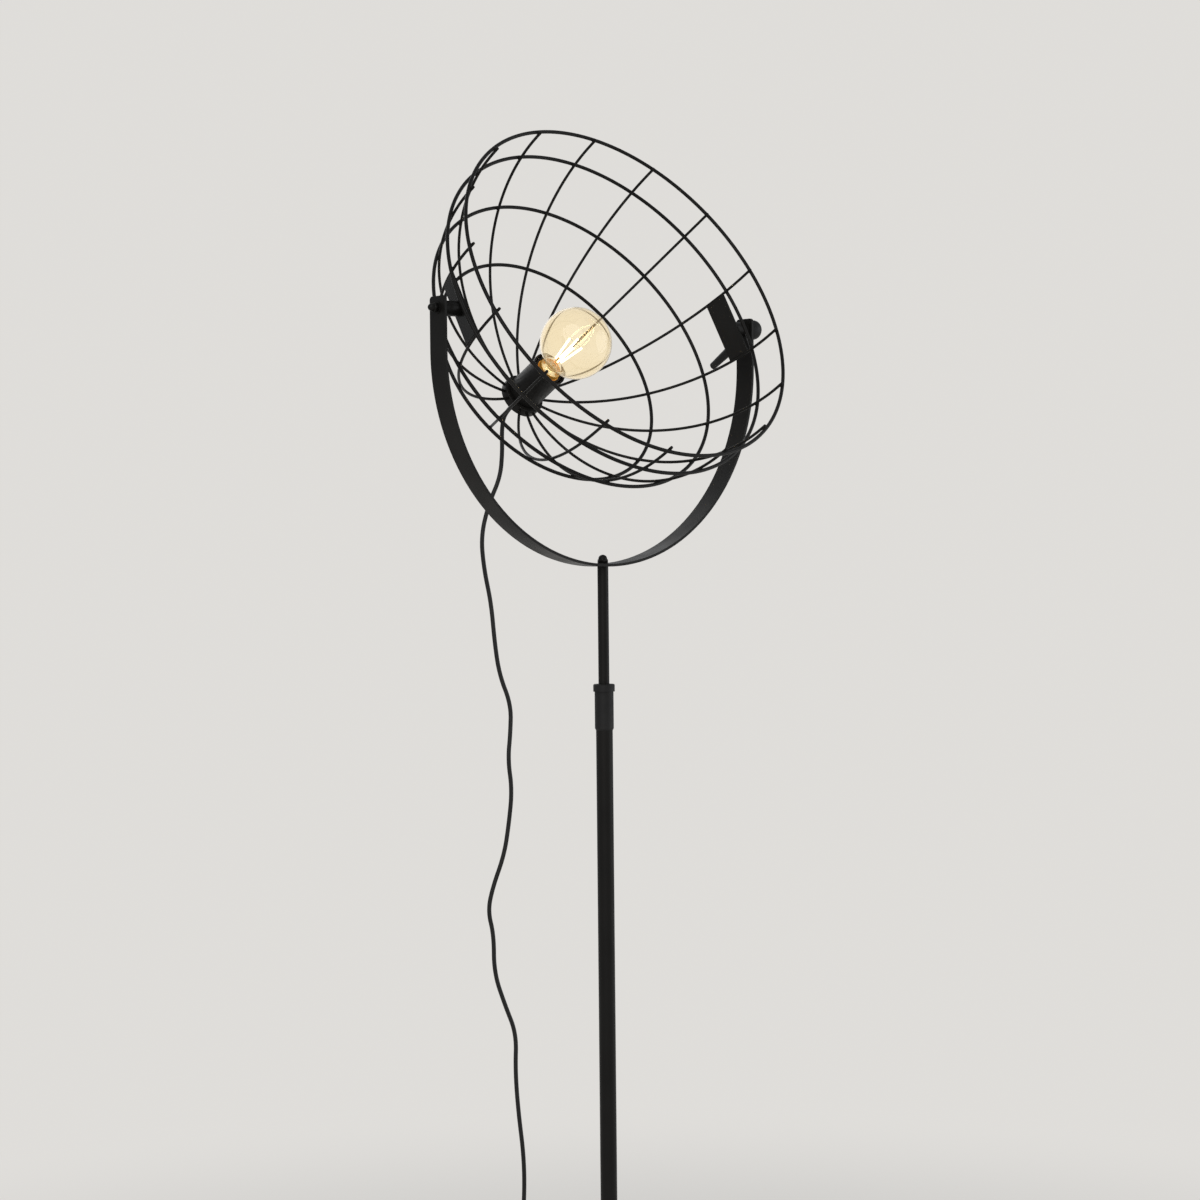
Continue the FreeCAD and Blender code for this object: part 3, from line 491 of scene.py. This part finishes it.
def wire_cage():
    """Four hoops, the ribs inside them, and a bead at every crossing."""
    rings = [("rim_hoop", CAGE_R, CENTRE_AHEAD + RIM_PAST_CENTRE, 0.0)]
    for name, latitude in LATITUDES.items():
        lean = math.radians(latitude)
        rings.append((name, CAGE_R * math.cos(lean), CENTRE_AHEAD - CAGE_R * math.sin(lean), lean))
    for name, radius, ahead, lean in rings:
        hoop(name, radius, ahead)
    ribs = merge([tube(rib_line(k), RIB_WIRE, sides=14) for k in range(RIBS)])
    stand_in("rib_wires", ribs, "cage_ribs", "cage", "black_steel")
    beads = []
    for name, radius, ahead, lean in rings:
        for k in range(RIBS):
            beads.append(weld(radius, ahead, rib_angle(k), lean))
    welds = piece("weld_beads", *merge(beads))
    bm = bmesh.new()
    bm.from_mesh(welds.data)
    bmesh.ops.remove_doubles(bm, verts=bm.verts, dist=SAME_POINT)
    bm.to_mesh(welds.data)
    bm.free()
    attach(welds, "cage")
    dress(welds, "black_steel")


# ---- the bulb and its holder
GLOBE_STEPS = 48
NECK_STEPS = 10
GLOBE_TOP_HOLE = 0.00002
THREAD_PITCH = 0.0036
THREAD_DEPTH = 0.00085
THREAD_ROWS = 90
CAP_SIDES = 96
CAP_EDGE = 0.0015
GRIP_RINGS = 6
GRIP_LENGTH = 0.009
GRIP_TIP_R, GRIP_R = 0.0035, 0.0056


def globe():
    """The glass with its inside: a round globe that runs into a neck."""
    blend_r = NECK_R + NECK_BLEND
    blend_z = GLOBE_AHEAD - NECK_DROP
    lowest = math.atan2(-NECK_DROP, blend_r)

    def side(radius, blend, neck):
        line = []
        for k in range(GLOBE_STEPS + 1):
            a = math.pi / 2 + (lowest - math.pi / 2) * k / GLOBE_STEPS
            line.append((max(radius * math.cos(a), GLOBE_TOP_HOLE), GLOBE_AHEAD + radius * math.sin(a)))
        for k in range(1, NECK_STEPS + 1):
            a = math.pi + lowest * (1 - k / NECK_STEPS)
            line.append((blend_r + blend * math.cos(a), blend_z + blend * math.sin(a)))
        line.append((neck, NECK_FOOT))
        return line

    outer = side(GLOBE_R, NECK_BLEND, NECK_R)
    inner = side(GLOBE_R - GLOBE_WALL, NECK_BLEND + GLOBE_WALL, NECK_R - GLOBE_WALL)
    glass = stand_in("globe_glass", turned(outer + inner[::-1], aimed), "bulb_globe", "cage", "clear_glass")
    glass.visible_shadow = False


def screw_cap():
    """The pressed cap: a smooth skirt above rolled turns of thread."""
    low = CAP_FOOT + CAP_EDGE
    verts, faces = [], []
    for i in range(THREAD_ROWS + 1):
        share = i / THREAD_ROWS
        height = low + (CAP_TOP - CAP_FOOT - CAP_EDGE) * share
        fade = min(1, max(0, (0.80 - share) / 0.06)) * min(1, share / 0.05)
        for k in range(CAP_SIDES):
            wave = 0.5 - 0.5 * math.cos(2 * math.pi * (height / THREAD_PITCH - k / CAP_SIDES))
            radius = CAP_R - 0.00008 - THREAD_DEPTH * fade * wave
            a = 2 * math.pi * k / CAP_SIDES
            verts.append(aimed(radius * math.cos(a), radius * math.sin(a), height))
    edge_and_inside = [(CAP_R - 0.0002, CAP_TOP + 0.00012), (CAP_R - 0.0004, CAP_TOP),
                       (CAP_R - 0.0004, CAP_TOP - 0.003), (CAP_R - 0.0018, CAP_FOOT + 0.0019),
                       (0.005, CAP_FOOT + 0.0004), (0.005, CAP_FOOT)]
    for radius, height in edge_and_inside:
        verts += ring(aimed, radius, height, CAP_SIDES)
    count = THREAD_ROWS + 1 + len(edge_and_inside)
    for i in range(count):
        faces += band(i * CAP_SIDES, (i + 1) % count * CAP_SIDES, CAP_SIDES)
    stand_in("screw_cap", (verts, faces), "bulb_cap", "cage", "brass")


def holder():
    """The shell with its rolled lip."""
    inner = HOLDER_R - HOLDER_WALL
    corner = 0.001
    lip = HOLDER_R + 0.0005
    roll = 0.0008
    line = [(NIPPLE_HOLE, HUB_FRONT), (HOLDER_R - corner, HUB_FRONT)]
    line += rounded(corner, -90, 0, (HOLDER_R - corner, HUB_FRONT + corner), 5)
    line += [(HOLDER_R, MOUTH - 0.0026), (lip - 0.0002, MOUTH - 0.0025), (lip, MOUTH - 0.0022)]
    line += rounded(roll, 0, 90, (lip - roll, MOUTH - roll), 5)
    line += [(inner + 0.0004, MOUTH), (inner, MOUTH - 0.0004), (inner, HUB_FRONT + HOLDER_WALL),
             (NIPPLE_HOLE, HUB_FRONT + HOLDER_WALL)]
    stand_in("holder_sleeve", turned(line, aimed), "holder_shell", "cage", "black_steel")


def hub():
    """The cup that the holder stands on."""
    front, back = 0.0012, 0.0004
    inner = HUB_R - HUB_WALL
    line = [(NIPPLE_HOLE, HUB_FRONT)]
    line += rounded(front, 90, 0, (HUB_R - front, HUB_FRONT - front), 6)
    line += rounded(back, 0, -90, (HUB_R - back, HUB_BACK + back), 3)
    line += [(inner, HUB_BACK), (inner, HUB_FRONT - HUB_WALL), (NIPPLE_HOLE, HUB_FRONT - HUB_WALL)]
    stand_in("hub_shell", turned(line, aimed), "hub_cup", "cage", "black_steel")


def grip():
    """The cord grip: a screwed ring and a ribbed, tapering sleeve."""
    seat = HUB_BACK - 0.004
    first_rib = 0.0008
    line = [(0, GRIP_TIP), (0.0031, GRIP_TIP), (GRIP_TIP_R, GRIP_TIP + 0.0004)]
    for k in range(GRIP_RINGS):
        base = GRIP_TIP + first_rib + (GRIP_LENGTH - first_rib) * k / GRIP_RINGS
        radius = GRIP_TIP_R + (GRIP_R - GRIP_TIP_R) * k / GRIP_RINGS
        line += [(radius, base), (radius + 0.00025, base + 0.0004), (radius + 0.00025, base + 0.0009),
                 (radius - 0.0002, base + 0.0011)]
    line += [(GRIP_R, GRIP_TIP + GRIP_LENGTH), (GRIP_R, seat), (0.0065, seat), (0.0068, seat + 0.0003),
             (0.0068, HUB_BACK + 0.0005), (0, HUB_BACK + 0.0005)]
    stand_in("grip_sleeve", closed_lathe(line, aimed, 48), "cord_grip", "cage", "black_plastic")


def filament_wires():
    """The rod and fine wires that hold the filaments' ends."""
    rod, wire = 0.0005, 0.0003
    stem_top = GLOBE_AHEAD - NECK_DROP + 0.012
    lean = math.radians(8)
    filament = 0.034
    tip = stem_top - 0.0015 + filament * math.cos(lean)
    out = 0.0038 + filament * math.sin(lean)
    bend = 0.45 * out
    parts = [tube([aimed(0, 0, stem_top - 0.001), aimed(0, 0, tip + 0.001)], rod, sides=10)]
    for k in range(4):
        around = math.radians(45 + 90 * k)
        cos, sin = math.cos(around), math.sin(around)
        points = [aimed(0, 0, tip - 0.001), aimed(bend * cos, bend * sin, tip + 0.0008),
                  aimed(out * cos, out * sin, tip + 0.0004)]
        parts.append(tube(points, wire, sides=8))
    obj = piece("filament_wires", *merge(parts))
    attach(obj, "cage")
    dress(obj, "nickel")


# ---- nuts and the clamping lever
NUT_SIDES = 72
LEVER_DROP = math.radians(31)
LEVER_LENGTH = 0.0755
LEVER_ROOT, LEVER_TIP = 0.0070, 0.0043
LEVER_STEPS = 24
LEVER_HUB_R, LEVER_HUB_HEIGHT = 0.0113, 0.0185


def on_left_washer(x, y, height):
    """A place on the tilt axis, height counted outwards from the washer on the yoke's left arm."""
    return Vector((-YOKE_OUTER - WASHER - height, -x, PIVOT_Z + y))


def on_mast_washer(x, y, height):
    """A place on the mast's axis, height counted up from the washer on the yoke."""
    return Vector((x, y, YOKE_TOP_Z + 0.00115 + height))


def hexagon_base(across, height, place):
    """A hexagon with its top corners taken off by a cone, as a nut's are."""
    flat = across / 2
    verts, faces = [], []
    for level in (0.0, 0.78, 1.0):
        for k in range(NUT_SIDES):
            a = 2 * math.pi * k / NUT_SIDES
            radius = flat / math.cos(a % (math.pi / 3) - math.pi / 6)
            if level == 1.0:
                radius = min(radius, flat * 1.01)
            verts.append(place(radius * math.cos(a), radius * math.sin(a), height * level))
    for i in range(2):
        faces += band(i * NUT_SIDES, (i + 1) * NUT_SIDES, NUT_SIDES)
    faces.append(tuple(range(NUT_SIDES)))
    faces.append(tuple(range(2 * NUT_SIDES, 3 * NUT_SIDES)))
    return verts, faces


def cap_nut(name, node, body, across, height, place):
    """A domed nut standing on its seat."""
    flat = 0.45 * height
    dome = 0.46 * across
    rise = height - flat
    line = [(0, flat - 0.0002), (dome, flat - 0.0002), (dome, flat)]
    for degrees in range(0, 90, 10):
        a = math.radians(degrees)
        line.append((dome * math.cos(a), flat + 0.12 * rise + 0.88 * rise * math.sin(a)))
    line.append((0, height))
    shape = merge([hexagon_base(across, flat, place), closed_lathe(line, place, 48)])
    stand_in(name, shape, node, body, "black_steel")


def lever():
    """The clamping lever: a domed hub that runs into a tapered arm."""
    seat = YOKE_OUTER + WASHER
    soft = 0.008
    line = [(0, 0), (LEVER_HUB_R - 0.0003, 0), (LEVER_HUB_R, 0.0003)]
    line += rounded(soft, 0, 90, (LEVER_HUB_R - soft, LEVER_HUB_HEIGHT - soft), 14)
    line.append((0, LEVER_HUB_HEIGHT))

    def on_axis(x, y, height):
        return Vector((seat + height, x, PIVOT_Z + y))

    def on_arm(x, y, height):
        squeeze = 1 - 0.12 * min(1, height / 0.03)
        return Vector((seat + LEVER_ROOT + 0.001 + x * squeeze,
                       y * math.sin(LEVER_DROP) + height * math.cos(LEVER_DROP),
                       PIVOT_Z + y * math.cos(LEVER_DROP) - height * math.sin(LEVER_DROP)))

    body = closed_lathe(line, on_axis, 72)
    end = 0.0015
    line = [(0, 0)]
    for k in range(LEVER_STEPS + 1):
        share = k / LEVER_STEPS
        swell = 0.0022 * math.exp(-((share * LEVER_LENGTH - 0.010) / 0.006) ** 2)
        line.append((LEVER_ROOT + (LEVER_TIP - LEVER_ROOT) * share + swell, share * (LEVER_LENGTH - end)))
    line += rounded(end, 0, 90, (LEVER_TIP - end, LEVER_LENGTH - end), 6)[1:]
    line.append((0, LEVER_LENGTH))
    arm = closed_lathe(line, on_arm, 48)
    stand_in("lever_body", merge([body, arm]), "clamp_lever", "clamp", "black_plastic")


# ---- cords: the route of the solids steers one smooth spline
ROUTE_FOOT_Z = 0.1595
HANGING = [(4, 23, -25), (8, 27, -51), (6, 29, -80), (-8, 33, -110), (-17, 37, -147), (-14, 36, -185),
           (-7, 32, -225), (-5, 29, -270), (-1, 26, -307), (11, 20, -342), (8, 18, -374), (3, 17, -405),
           (8, 16, -440), (4, 18, -480), (0, 22, -515), (-11, 30, -552), (-17, 32, -579), (-11, 29, -607),
           (-13, 27, -650), (-3, 20, -688), (8, 13, -722), (4, 11, -762), (6, 9, -810), (12, 6, -868),
           (11, 6, -923), (6, 10, -981), (1, 18, -1040), (2, 27, -1098), (4, 33, -1150)]
TO_SWITCH = [(3, 191, 116), (1, 197, 80), (-4, 202, 46), (-16, 204, 18), (-40, 203, 5.5), (-76, 203, 5.5)]
FIRST_CUT, SECOND_CUT = 10, 18
COIL_CENTRE = (-0.226, 0.170)
COIL_OUTER = 0.033
COIL_PITCH = 0.0062
COIL_QUARTERS = 6
COIL_LAYER = 0.0058
COIL_TUCK = 0.001
SWITCH_OUTLET = (-0.136, 0.203, 0.0055)
RELIEF_LENGTH = 0.020
PLUG_ENTRY = (-0.186, 0.137, 0.007)
POINTS_A_QUARTER = 4


def spline_points(name, controls):
    """Points along a cord's smooth line, read from its own spline."""
    curve = bpy.data.curves.new(name, "CURVE")
    curve.dimensions = "3D"
    curve.resolution_u = 10
    line = curve.splines.new("NURBS")
    line.points.add(len(controls) - 1)
    for point, at in zip(line.points, controls):
        point.co = (*at, 1.0)
    line.order_u = 3
    line.use_endpoint_u = True
    carrier = bpy.data.objects.new(name, curve)
    bpy.context.scene.collection.objects.link(carrier)
    bpy.context.view_layer.update()
    mesh = bpy.data.meshes.new_from_object(carrier)
    points = [v.co.copy() for v in mesh.vertices]
    bpy.data.objects.remove(carrier)
    bpy.data.meshes.remove(mesh)
    bpy.data.curves.remove(curve)
    return points


def cord(name, node, points):
    """One stretch of cord: its tube, seen in place of the node's solids, in the cord jacket's material."""
    obj = piece(name, *tube(points, CORD_D / 2, sides=18))
    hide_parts(node)
    dress(obj, "cord_jacket")
    return obj


def hanging_cord():
    """From the grip to the switch, in three stretches that are cut halfway between two controls."""
    out = Vector((0, math.cos(AIM), -math.sin(AIM)))
    start = aimed(0, 0, GRIP_TIP)
    fall = (start.z - ROUTE_FOOT_Z) / 1.150
    route = [start, start + out * 0.015]
    route += [Vector((x / 1000, start.y + dy / 1000, start.z + dz / 1000 * fall)) for x, dy, dz in HANGING]
    route += [Vector((x / 1000, y / 1000, z / 1000)) for x, y, z in TO_SWITCH]
    points = spline_points("hanging_route", route)
    cuts = []
    for k in (FIRST_CUT, SECOND_CUT):
        halfway = (route[k] + route[k + 1]) / 2
        cuts.append(min(range(len(points)), key=lambda i: (points[i] - halfway).length))
    first, second = cuts
    upper, middle, lower = points[:first + 1], points[first:second + 1], points[second:]
    held = cord("cord_upper_jacket", "cord_upper", upper)
    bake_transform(held)
    held = cord("cord_middle_jacket", "cord_middle", middle)
    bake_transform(held)
    held = cord("cord_lower_jacket", "cord_lower", lower)
    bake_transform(held)


def coil_places():
    """Radius and height at each quarter turn: in on the lower layer, out again on the upper."""
    inmost = COIL_OUTER - COIL_QUARTERS * COIL_PITCH / 4
    floor_level = CORD_D / 2
    places = [(COIL_OUTER - q * COIL_PITCH / 4, floor_level) for q in range(COIL_QUARTERS + 1)]
    places.append((inmost - COIL_TUCK, floor_level + COIL_LAYER / 2))
    places += [(inmost + q * COIL_PITCH / 4, floor_level + COIL_LAYER) for q in range(COIL_QUARTERS + 1)]
    return places


def coiled_cord():
    """Out of the switch, through the coil and on to the plug."""
    cx, cy = COIL_CENTRE
    places = coil_places()
    grow = 1 / (0.75 + 0.25 * math.cos(math.pi / 2 / POINTS_A_QUARTER))
    x, y, z = SWITCH_OUTLET
    lead_in = x - RELIEF_LENGTH - CORD_D / 2
    quarter = (lead_in - cx) / 4
    route = [Vector((x, y, z)), Vector((lead_in, y, z)), Vector((lead_in - quarter, y, z)),
             Vector((cx + quarter, y, CORD_D / 2))]
    for k in range(1, POINTS_A_QUARTER * (len(places) - 1)):
        q, share = divmod(k, POINTS_A_QUARTER)
        share /= POINTS_A_QUARTER
        radius = places[q][0] * (1 - share) + places[q + 1][0] * share
        height = places[q][1] * (1 - share) + places[q + 1][1] * share
        angle = math.pi / 2 * (q + share + 1)
        route.append(Vector((cx + radius * grow * math.cos(angle), cy + radius * grow * math.sin(angle),
                             height)))
    x, y, z = PLUG_ENTRY
    lead_out = x - CORD_D
    quarter = (lead_out - cx) / 4
    route += [Vector((cx + quarter, y, places[-1][1])), Vector((lead_out - quarter, y, z)),
              Vector((lead_out, y, z)), Vector((x, y, z))]
    coil = cord("cord_coil_jacket", "cord_coil", spline_points("coil_route", route))
    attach(coil, "stand")


# ---- the room
PALE = (0.74, 0.725, 0.70)
SKYLIGHT = (0.95, 0.975, 1.0)
SKYLIGHT_STRENGTH = 0.42
FLOOR_R = 5.0
FLOOR_RINGS, FLOOR_SIDES = 24, 96
FLOOR_DROP = 0.0006
FADE_START, FADE_END = 0.7, 2.2
CAMERA_PLACE = (-1.7637, -1.9511, 1.1633)
CAMERA_YAW, CAMERA_PITCH, CAMERA_ROLL = (math.radians(a) for a in (42.037, -1.545, -0.562))
CAMERA_LENS = 71.96


def shader(tree, kind, colour, strength=None):
    """The output of a one-colour shader node."""
    node = tree.nodes.new(kind)
    node.inputs["Color"].default_value = (*colour, 1)
    if strength is not None:
        node.inputs["Strength"].default_value = strength
    return node.outputs[0]


def mixed(tree, fac, first, second, output_kind):
    """The two shaders by the factor, as the tree's result."""
    mix = tree.nodes.new("ShaderNodeMixShader")
    tree.links.new(fac, mix.inputs["Fac"])
    tree.links.new(first, mix.inputs[1])
    tree.links.new(second, mix.inputs[2])
    out = tree.nodes.new(output_kind)
    tree.links.new(mix.outputs[0], out.inputs["Surface"])


def backdrop():
    """A pale room for camera and transmission rays, a cooler and dimmer skylight for the others."""
    world = bpy.data.worlds.new("studio")
    bpy.context.scene.world = world
    world.use_nodes = True
    tree = world.node_tree
    tree.nodes.clear()
    shown = shader(tree, "ShaderNodeBackground", PALE, 1.0)
    light = shader(tree, "ShaderNodeBackground", SKYLIGHT, SKYLIGHT_STRENGTH)
    path = tree.nodes.new("ShaderNodeLightPath")
    either = tree.nodes.new("ShaderNodeMath")
    either.operation = "MAXIMUM"
    tree.links.new(path.outputs["Is Camera Ray"], either.inputs[0])
    tree.links.new(path.outputs["Is Transmission Ray"], either.inputs[1])
    mixed(tree, either.outputs[0], light, shown, "ShaderNodeOutputWorld")


def ground():
    """A matt disc under the lamp that turns into the backdrop's own tone further out."""
    verts, faces = [(0, 0, 0)], []
    for i in range(1, FLOOR_RINGS + 1):
        for k in range(FLOOR_SIDES):
            a = 2 * math.pi * k / FLOOR_SIDES
            r = FLOOR_R * i / FLOOR_RINGS
            verts.append((r * math.cos(a), r * math.sin(a), 0))
    for k in range(FLOOR_SIDES):
        faces.append((0, 1 + k, 1 + (k + 1) % FLOOR_SIDES))
    for i in range(FLOOR_RINGS - 1):
        faces += band(1 + (i + 1) * FLOOR_SIDES, 1 + i * FLOOR_SIDES, FLOOR_SIDES)
    floor = piece("floor", verts, faces)
    floor.location.z = -FLOOR_DROP
    mat = bpy.data.materials.new("pale_floor")
    mat.use_nodes = True
    tree = mat.node_tree
    tree.nodes.clear()
    coords = tree.nodes.new("ShaderNodeTexCoord")
    length = tree.nodes.new("ShaderNodeVectorMath")
    length.operation = "LENGTH"
    tree.links.new(coords.outputs["Object"], length.inputs[0])
    fade = tree.nodes.new("ShaderNodeMapRange")
    fade.interpolation_type = "SMOOTHSTEP"
    fade.inputs["From Min"].default_value = FADE_START
    fade.inputs["From Max"].default_value = FADE_END
    tree.links.new(length.outputs["Value"], fade.inputs["Value"])
    matt = shader(tree, "ShaderNodeBsdfDiffuse", PALE)
    glow = shader(tree, "ShaderNodeEmission", PALE)
    mixed(tree, fade.outputs["Result"], matt, glow, "ShaderNodeOutputMaterial")
    floor.data.materials.append(mat)


def soft_light(name, place, target, size, power, colour=(1, 1, 1)):
    """A round lamp aimed at a point, not seen through glass."""
    data = bpy.data.lights.new(name, "AREA")
    data.shape = "DISK"
    data.size = size
    data.energy = power
    data.color = colour
    lamp = bpy.data.objects.new(name, data)
    lamp.location = place
    lamp.rotation_euler = (Vector(target) - Vector(place)).to_track_quat("-Z", "Y").to_euler()
    lamp.visible_transmission = False
    bpy.context.scene.collection.objects.link(lamp)


def camera():
    """The photograph's place, aim and roll."""
    forward = Vector((math.sin(CAMERA_YAW) * math.cos(CAMERA_PITCH),
                      math.cos(CAMERA_YAW) * math.cos(CAMERA_PITCH), math.sin(CAMERA_PITCH)))
    right = Vector((math.cos(CAMERA_YAW), -math.sin(CAMERA_YAW), 0))
    up = right.cross(forward)
    side = right * math.cos(CAMERA_ROLL) + up * math.sin(CAMERA_ROLL)
    top = up * math.cos(CAMERA_ROLL) - right * math.sin(CAMERA_ROLL)
    data = bpy.data.cameras.new("camera")
    data.sensor_width = 36
    data.lens = CAMERA_LENS
    cam = bpy.data.objects.new("camera", data)
    matrix = Matrix((side, top, -forward)).transposed().to_4x4()
    matrix.translation = Vector(CAMERA_PLACE)
    cam.matrix_world = matrix
    bpy.context.scene.collection.objects.link(cam)
    bpy.context.scene.camera = cam


camera()
hanging_cord()
coiled_cord()
dress_nodes()
calm_glow()
wire_cage()
holder()
hub()
grip()
screw_cap()
globe()
filament_wires()
lever()
cap_nut("left_nut", "left_cap_nut", "cage", 0.009, 0.0105, on_left_washer)
cap_nut("mast_nut", "mast_cap_nut", "mast", 0.0105, 0.009, on_mast_washer)
backdrop()
ground()
soft_light("key", (-2.3, -1.6, 2.7), (0, 0, 1.2), 4.0, 68, (1.0, 0.985, 0.96))
soft_light("fill", (2.3, -1.9, 1.5), (0, 0, 1.1), 2.8, 26, (0.96, 0.98, 1.0))
soft_light("back", (0.6, 2.4, 2.2), (0, 0, 1.2), 2.4, 12)
bpy.context.scene.view_settings.view_transform = "Standard"
